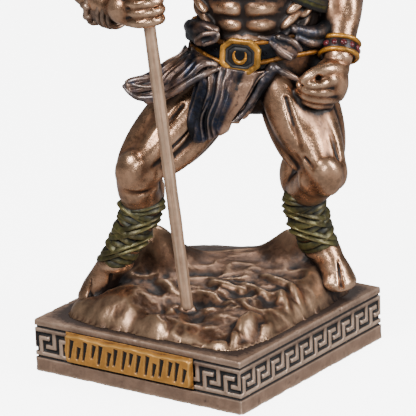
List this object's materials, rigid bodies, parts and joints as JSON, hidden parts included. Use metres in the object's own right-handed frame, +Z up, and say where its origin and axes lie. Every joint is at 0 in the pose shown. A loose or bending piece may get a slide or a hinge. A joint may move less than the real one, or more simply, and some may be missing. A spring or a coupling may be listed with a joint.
{
  "type": "minotaur statue",
  "caption": "Small cast bronze-look figurine of a bull-headed warrior with a long axe, standing on a rock on a square plinth with a Greek key border.",
  "frame": {"origin": "centre of the plinth's underside", "axes": "+Z up; -Y is the plinth's side with the name plate, and the figure faces the corner between -Y and +X"},
  "size_m": [0.0486, 0.0453, 0.0949],
  "materials": {
    "plinth_bronze": "matt tan bronze with a black wash in the cut pattern",
    "cast_bronze": "satin dark bronze, brown wash in the hollows, rubbed copper on the high spots, olive, near-black and gold paint on straps, cloth and belt",
    "axe_bronze": "light tan bronze with a lengthwise grain",
    "gold_paint": "gold paint with black in the cut strokes"
  },
  "bodies": {
    "root": {"plinth": "plinth_bronze", "minotaur": "cast_bronze", "battle_axe": "axe_bronze", "name_plate": "gold_paint"}
  },
  "joints": []
}
